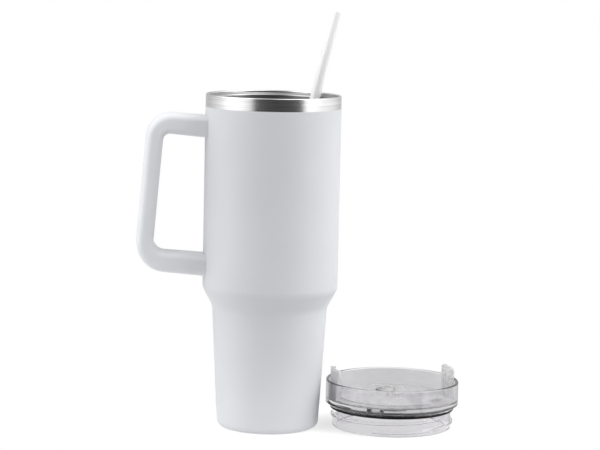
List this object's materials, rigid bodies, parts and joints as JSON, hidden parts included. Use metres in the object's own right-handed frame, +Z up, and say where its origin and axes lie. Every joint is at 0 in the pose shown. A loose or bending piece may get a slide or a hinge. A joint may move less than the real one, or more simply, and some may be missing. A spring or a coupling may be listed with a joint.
{
  "type": "insulated tumbler with lid",
  "caption": "Tall double-walled steel tumbler with a stepped body, side handle and straw, and its clear screw-in lid with a rotary cover standing beside it.",
  "frame": {"origin": "on the cup's axis at the underside of its foot, which stands on a surface", "axes": "+Z up along the cup's axis, the handle points to -X, the lid stands at +X, -Y is the front"},
  "size_m": [0.2418, 0.1083, 0.3077],
  "materials": {
    "powder_coat": "fine matt powder coat over stainless steel",
    "bare_steel": "circumferentially brushed, bare",
    "liner_steel": "satin, electropolished",
    "copper_foil": "thin bright copper foil",
    "inner_steel": "plain drawn sheet",
    "getter_metal": "pressed grey powder",
    "sealing_glass": "dark solder glass",
    "base_steel": "spun finish",
    "bracket_steel": "plain, spot welded",
    "handle_plastic": "moulded, unpainted",
    "handle_skin": "smooth satin, coloured to match the coat",
    "screw_steel": "bright stainless",
    "straw_plastic": "translucent, extruded",
    "clear_plastic": "clear glossy copolyester",
    "black_silicone": "satin",
    "clear_silicone": "translucent",
    "frosted_plastic": "translucent, lightly frosted",
    "pin_steel": "bright stainless"
  },
  "bodies": {
    "tumbler": {"outer_shell": "powder_coat", "mouth_ring": "bare_steel", "inner_liner": "liner_steel", "radiation_shield": "copper_foil", "shell_base": "inner_steel", "getter": "getter_metal", "seal_bead": "sealing_glass", "base_cover": "base_steel", "upper_bracket": "bracket_steel", "lower_bracket": "bracket_steel", "handle_core": "handle_plastic", "handle_grip": "handle_skin", "upper_screw": "screw_steel", "lower_screw": "screw_steel"},
    "straw": {"straw": "straw_plastic"},
    "lid": {"lid_body": "clear_plastic", "lid_gasket": "black_silicone", "slot_seal": "clear_silicone"},
    "rotary_cover": {"cover_disc": "frosted_plastic", "straw_grommet": "clear_silicone", "pivot_pin": "pin_steel", "pivot_clip": "pin_steel", "pivot_seal": "black_silicone"}
  },
  "joints": [
    {"name": "straw_pull", "type": "slide", "parent": "tumbler", "child": "straw", "axis": [0.2372, 0.1492, 0.9599], "range_m": [0, 0.31]},
    {"name": "lid_lift", "type": "slide", "parent": "tumbler", "child": "lid", "axis": [0.2577, 0.0244, 0.9659], "range_m": [0, 0.3]},
    {"name": "cover_turn", "type": "hinge", "parent": "lid", "child": "rotary_cover", "pos_m": [0.09284, 0.00878, 0.0213], "axis": [0, 0, 1], "range_deg": [-60, 0]}
  ]
}
